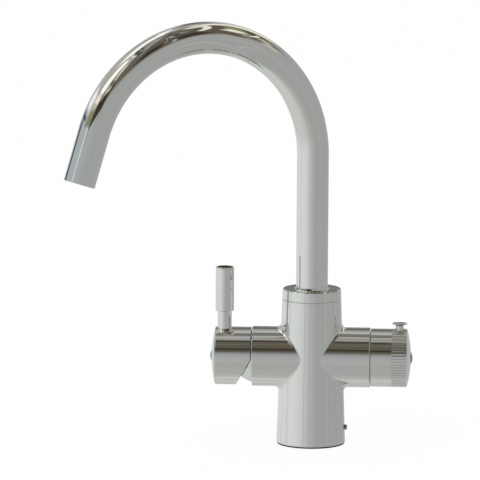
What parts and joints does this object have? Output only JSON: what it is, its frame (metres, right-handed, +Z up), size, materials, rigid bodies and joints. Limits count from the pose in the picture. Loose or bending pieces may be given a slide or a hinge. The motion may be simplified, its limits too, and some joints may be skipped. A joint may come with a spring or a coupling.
{
  "type": "boiling water tap",
  "caption": "Deck-mounted boiling water tap with a swivelling swan-neck spout, a lever mixer on the left arm, and a knurled dial with a safety button on the right arm.",
  "frame": {"origin": "where the column's axis meets the worktop, at the mouth of the shank thread", "axes": "+Z up the column, -X along the lever's arm, +X along the dial's arm, -Y towards the front; at rest the spout points to the front left, 30.65 degrees from -X"},
  "size_m": [0.2995, 0.1608, 0.3806],
  "materials": {
    "polished_nickel": "polished, mirror bright, slightly warm",
    "brass": "machined, satin",
    "blackened_screw": "blackened steel, semi-matt",
    "stainless_steel": "machined stainless steel",
    "black_rubber": "matt moulded rubber",
    "white_acetal": "moulded white plastic",
    "grey_plastic": "moulded glass-filled plastic",
    "ceramic_disc": "lapped white alumina",
    "blue_violet_bead": "glossy dark blue-violet",
    "dark_grey_bead": "glossy dark grey with a green cast"
  },
  "bodies": {
    "root": {"body_casting": "polished_nickel", "mounting_sleeve": "brass", "base_gasket": "black_rubber", "base_set_screw": "blackened_screw", "spout_collar": "polished_nickel", "lower_swivel_washer": "white_acetal", "upper_swivel_washer": "white_acetal", "inner_tube_seal": "black_rubber", "mixer_base_seals": "black_rubber", "mixer_cartridge_base": "white_acetal", "mixer_fixed_disc": "ceramic_disc", "mixer_cartridge_housing": "grey_plastic", "mixer_clamp_nut": "brass", "lever_dome_cover": "polished_nickel", "valve_base_seals": "black_rubber", "valve_cartridge_base": "white_acetal", "valve_fixed_disc": "ceramic_disc", "valve_cartridge_housing": "grey_plastic", "valve_clamp_nut": "brass", "dial_stop_ring": "white_acetal"},
    "spout": {"spout_tube": "polished_nickel", "swivel_adaptor": "brass", "swivel_o_rings": "black_rubber", "inner_water_tube": "white_acetal", "outlet_ring": "polished_nickel", "outlet_insert": "grey_plastic", "outlet_seal": "black_rubber"},
    "turret": {"mixer_turret": "grey_plastic", "mixer_stem_pin": "stainless_steel"},
    "disc": {"mixer_moving_disc": "ceramic_disc", "mixer_disc_carrier": "white_acetal"},
    "lever": {"mixer_stem": "brass", "lever_barrel": "polished_nickel", "lever_handle": "polished_nickel", "lever_grub_screw": "stainless_steel", "lever_end_cap": "polished_nickel", "lever_index_bead": "blue_violet_bead"},
    "dial": {"valve_spindle": "brass", "valve_rotating_disc": "ceramic_disc", "dial_shell": "polished_nickel", "dial_screw": "stainless_steel", "dial_end_cap": "polished_nickel", "dial_index_bead": "dark_grey_bead", "button_bush": "polished_nickel", "button_spring": "stainless_steel"},
    "button": {"safety_button": "polished_nickel", "button_clip": "stainless_steel"}
  },
  "joints": [
    {"name": "spout_swivel", "type": "hinge", "parent": "root", "child": "spout", "pos_m": [0, 0, 0], "axis": [0, 0, 1], "continuous": true},
    {"name": "mixer_turn", "type": "hinge", "parent": "root", "child": "turret", "pos_m": [-0.0474, 0, 0.0771], "axis": [1, 0, 0], "range_deg": [-45, 45]},
    {"name": "lever_tilt", "type": "hinge", "parent": "turret", "child": "lever", "pos_m": [-0.0474, 0, 0.0771], "axis": [0, -1, 0], "range_deg": [0, 25]},
    {"name": "disc_slide", "type": "slide", "parent": "turret", "child": "disc", "axis": [0, 0, 1], "range_m": [0, 0.00595]},
    {"name": "dial_turn", "type": "hinge", "parent": "root", "child": "dial", "pos_m": [0.07, 0, 0.0771], "axis": [1, 0, 0], "range_deg": [-90, 90]},
    {"name": "button_press", "type": "slide", "parent": "dial", "child": "button", "axis": [0, 0, -1], "range_m": [0, 0.0023], "stiffness_N_per_m": 400, "springref_m": -0.006, "deforming": ["button_spring"]}
  ],
  "couplings": [
    {"joint": "disc_slide", "follows": "lever_tilt", "m_per_rad": 0.013618}
  ]
}
